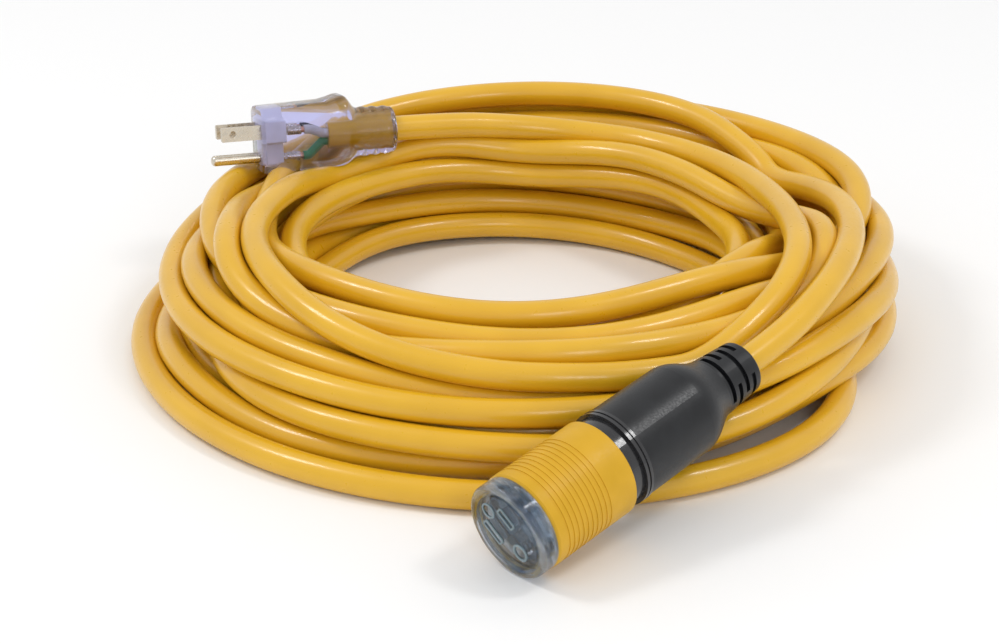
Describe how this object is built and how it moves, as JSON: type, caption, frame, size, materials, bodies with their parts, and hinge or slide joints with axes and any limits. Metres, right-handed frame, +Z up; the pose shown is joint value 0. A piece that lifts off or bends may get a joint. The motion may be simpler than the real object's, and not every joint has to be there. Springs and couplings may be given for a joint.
{
  "type": "coiled power cord with locking connector",
  "caption": "Heavy round power cord in a loose coil, with a clear moulded three-pin plug and a locking socket connector that has a pull-back collar.",
  "frame": {"origin": "on the surface that the coil lies on, at the middle of the box around the plug and the connector; the coil's own centre is 23.5 mm along +X and 61.5 mm along +Y from it", "axes": "+Z up from the surface; -Y towards the connector, which lies in front of the coil; +X to the right, so the plug points roughly along -X"},
  "size_m": [0.324, 0.3852, 0.0788],
  "materials": {
    "cord_jacket": "glossy extruded PVC",
    "collar_yellow": "satin moulded nylon",
    "boot_rubber": "satin black rubber",
    "housing_black": "glossy black nylon",
    "clear_socket": "clear, slightly blue polycarbonate",
    "clear_plug": "clear, slightly violet PVC",
    "insulator_grey": "moulded thermoset",
    "bridge_white": "white moulded plastic",
    "blade_nickel": "nickel-plated brass",
    "contact_brass": "sprung brass",
    "spring_steel": "spring steel",
    "copper": "stranded bare copper",
    "core_black": "PVC insulation",
    "core_white": "PVC insulation",
    "core_green": "PVC insulation",
    "lamp_lens": "domed lamp",
    "resistor_tan": "lacquered resistor"
  },
  "bodies": {
    "cord_set": {"socket_body": "clear_socket", "lock_pivot": "spring_steel", "contact_carrier": "insulator_grey", "line_contact": "contact_brass", "neutral_contact": "contact_brass", "ground_contact": "contact_brass", "collar_spring": "spring_steel", "rear_housing": "housing_black", "retaining_ring": "housing_black", "boot": "boot_rubber", "inner_mould": "boot_rubber", "power_lamp": "lamp_lens", "lamp_resistor": "resistor_tan", "connector_conductors": "copper", "connector_jacket_end": "cord_jacket", "connector_line_core": "core_black", "connector_neutral_core": "core_white", "connector_ground_core": "core_green", "plug_body": "clear_plug", "plug_bridge": "bridge_white", "plug_line_blade": "blade_nickel", "plug_neutral_blade": "blade_nickel", "plug_ground_pin": "blade_nickel", "plug_conductors": "copper", "plug_jacket_end": "cord_jacket", "plug_line_core": "core_black", "plug_neutral_core": "core_white", "plug_ground_core": "core_green", "cord_coil": "cord_jacket", "plug_lead": "cord_jacket", "connector_lead": "cord_jacket"},
    "collar": {"locking_collar": "collar_yellow"},
    "lock": {"lock_plate": "spring_steel"}
  },
  "joints": [
    {"name": "collar_slide", "type": "slide", "parent": "cord_set", "child": "collar", "axis": [0.7125, 0.6691, 0.2113], "range_m": [0, 0.004], "stiffness_N_per_m": 800, "springref_m": -0.008, "deforming": ["collar_spring"]},
    {"name": "lock_tip", "type": "hinge", "parent": "cord_set", "child": "lock", "pos_m": [0.03042, -0.13963, 0.01875], "axis": [0.3436, -0.5953, 0.7264], "range_deg": [0, 16.7]}
  ],
  "couplings": [
    {"joint": "lock_tip", "follows": "collar_slide", "rad_per_m": 72.5}
  ]
}
